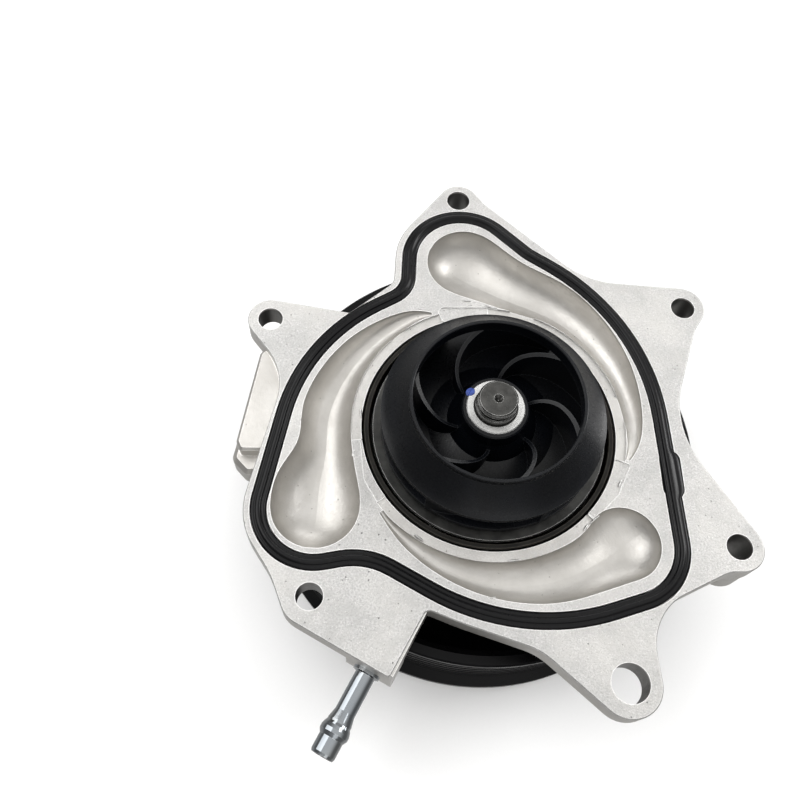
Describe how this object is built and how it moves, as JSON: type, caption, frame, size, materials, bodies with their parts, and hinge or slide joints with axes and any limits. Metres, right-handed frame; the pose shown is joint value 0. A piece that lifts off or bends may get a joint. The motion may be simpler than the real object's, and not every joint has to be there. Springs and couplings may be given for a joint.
{
  "type": "automotive coolant pump",
  "caption": "Belt-driven coolant pump with a cast volute flange, closed plastic impeller, vacuum-operated ring slide, profile gasket and cup pulley.",
  "frame": {"origin": "shaft axis on the machined mounting face of the flange", "axes": "+Z along the shaft away from the pulley, out of the mounting face; +Y towards the top lug; +X completes the right-handed frame"},
  "size_m": [0.1811, 0.215, 0.0757],
  "materials": {
    "cast_aluminium": "shot-blasted die casting with machined faces",
    "gasket_rubber": "satin moulded rubber",
    "plated_steel": "bright zinc plating",
    "shaft_steel": "ground dark steel",
    "bearing_steel": "ground bearing steel",
    "bush_steel": "matt turned steel",
    "cage_plastic": "natural polyamide",
    "seal_rubber": "moulded rubber",
    "seal_steel": "deep-drawn stainless steel",
    "seal_carbon": "lapped carbon",
    "seal_ceramic": "lapped silicon carbide",
    "impeller_plastic": "satin glass-filled plastic",
    "slide_steel": "dark coated steel",
    "cover_steel": "dark pressed steel",
    "screw_steel": "zinc-plated steel",
    "pulley_steel": "black electro-coat",
    "hub_steel": "phosphated steel"
  },
  "bodies": {
    "pump_body": {"housing": "cast_aluminium", "profile_gasket": "gasket_rubber", "vacuum_nipple": "plated_steel", "bearing_outer_race": "bearing_steel", "bearing_seals": "seal_rubber", "seal_cup": "seal_steel", "seal_bellows": "seal_rubber", "seal_spring": "seal_steel", "seal_carbon_ring": "seal_carbon", "slide_cover_plate": "cover_steel", "cover_plate_screws": "screw_steel"},
    "rotor": {"pump_shaft": "shaft_steel", "impeller": "impeller_plastic", "impeller_shroud": "impeller_plastic", "impeller_bush": "bush_steel", "seal_mating_ring": "seal_ceramic", "seal_mating_boot": "seal_rubber", "pulley": "pulley_steel", "pulley_hub": "hub_steel", "pulley_screws": "screw_steel"},
    "ball_train": {"bearing_balls": "bearing_steel", "ball_cage": "cage_plastic"},
    "roller_train": {"bearing_rollers": "bearing_steel", "roller_cage": "cage_plastic"},
    "slide_ring": {"ring_slide": "slide_steel", "slide_outer_seal": "seal_rubber", "slide_inner_seal": "seal_rubber", "slide_return_springs": "seal_steel"}
  },
  "joints": [
    {"name": "rotor_spin", "type": "hinge", "parent": "pump_body", "child": "rotor", "pos_m": [0, 0, 0], "axis": [0, 0, 1], "continuous": true},
    {"name": "ball_train_spin", "type": "hinge", "parent": "pump_body", "child": "ball_train", "pos_m": [0, 0, -0.0238], "axis": [0, 0, 1], "continuous": true},
    {"name": "roller_train_spin", "type": "hinge", "parent": "pump_body", "child": "roller_train", "pos_m": [0, 0, -0.0346], "axis": [0, 0, 1], "continuous": true},
    {"name": "slide_travel", "type": "slide", "parent": "pump_body", "child": "slide_ring", "axis": [0, 0, 1], "range_m": [0, 0.013], "stiffness_N_per_m": 800, "springref_m": -0.01, "deforming": ["slide_return_springs"]}
  ],
  "couplings": [
    {"joint": "ball_train_spin", "follows": "rotor_spin", "ratio": 0.361},
    {"joint": "roller_train_spin", "follows": "rotor_spin", "ratio": 0.361}
  ]
}
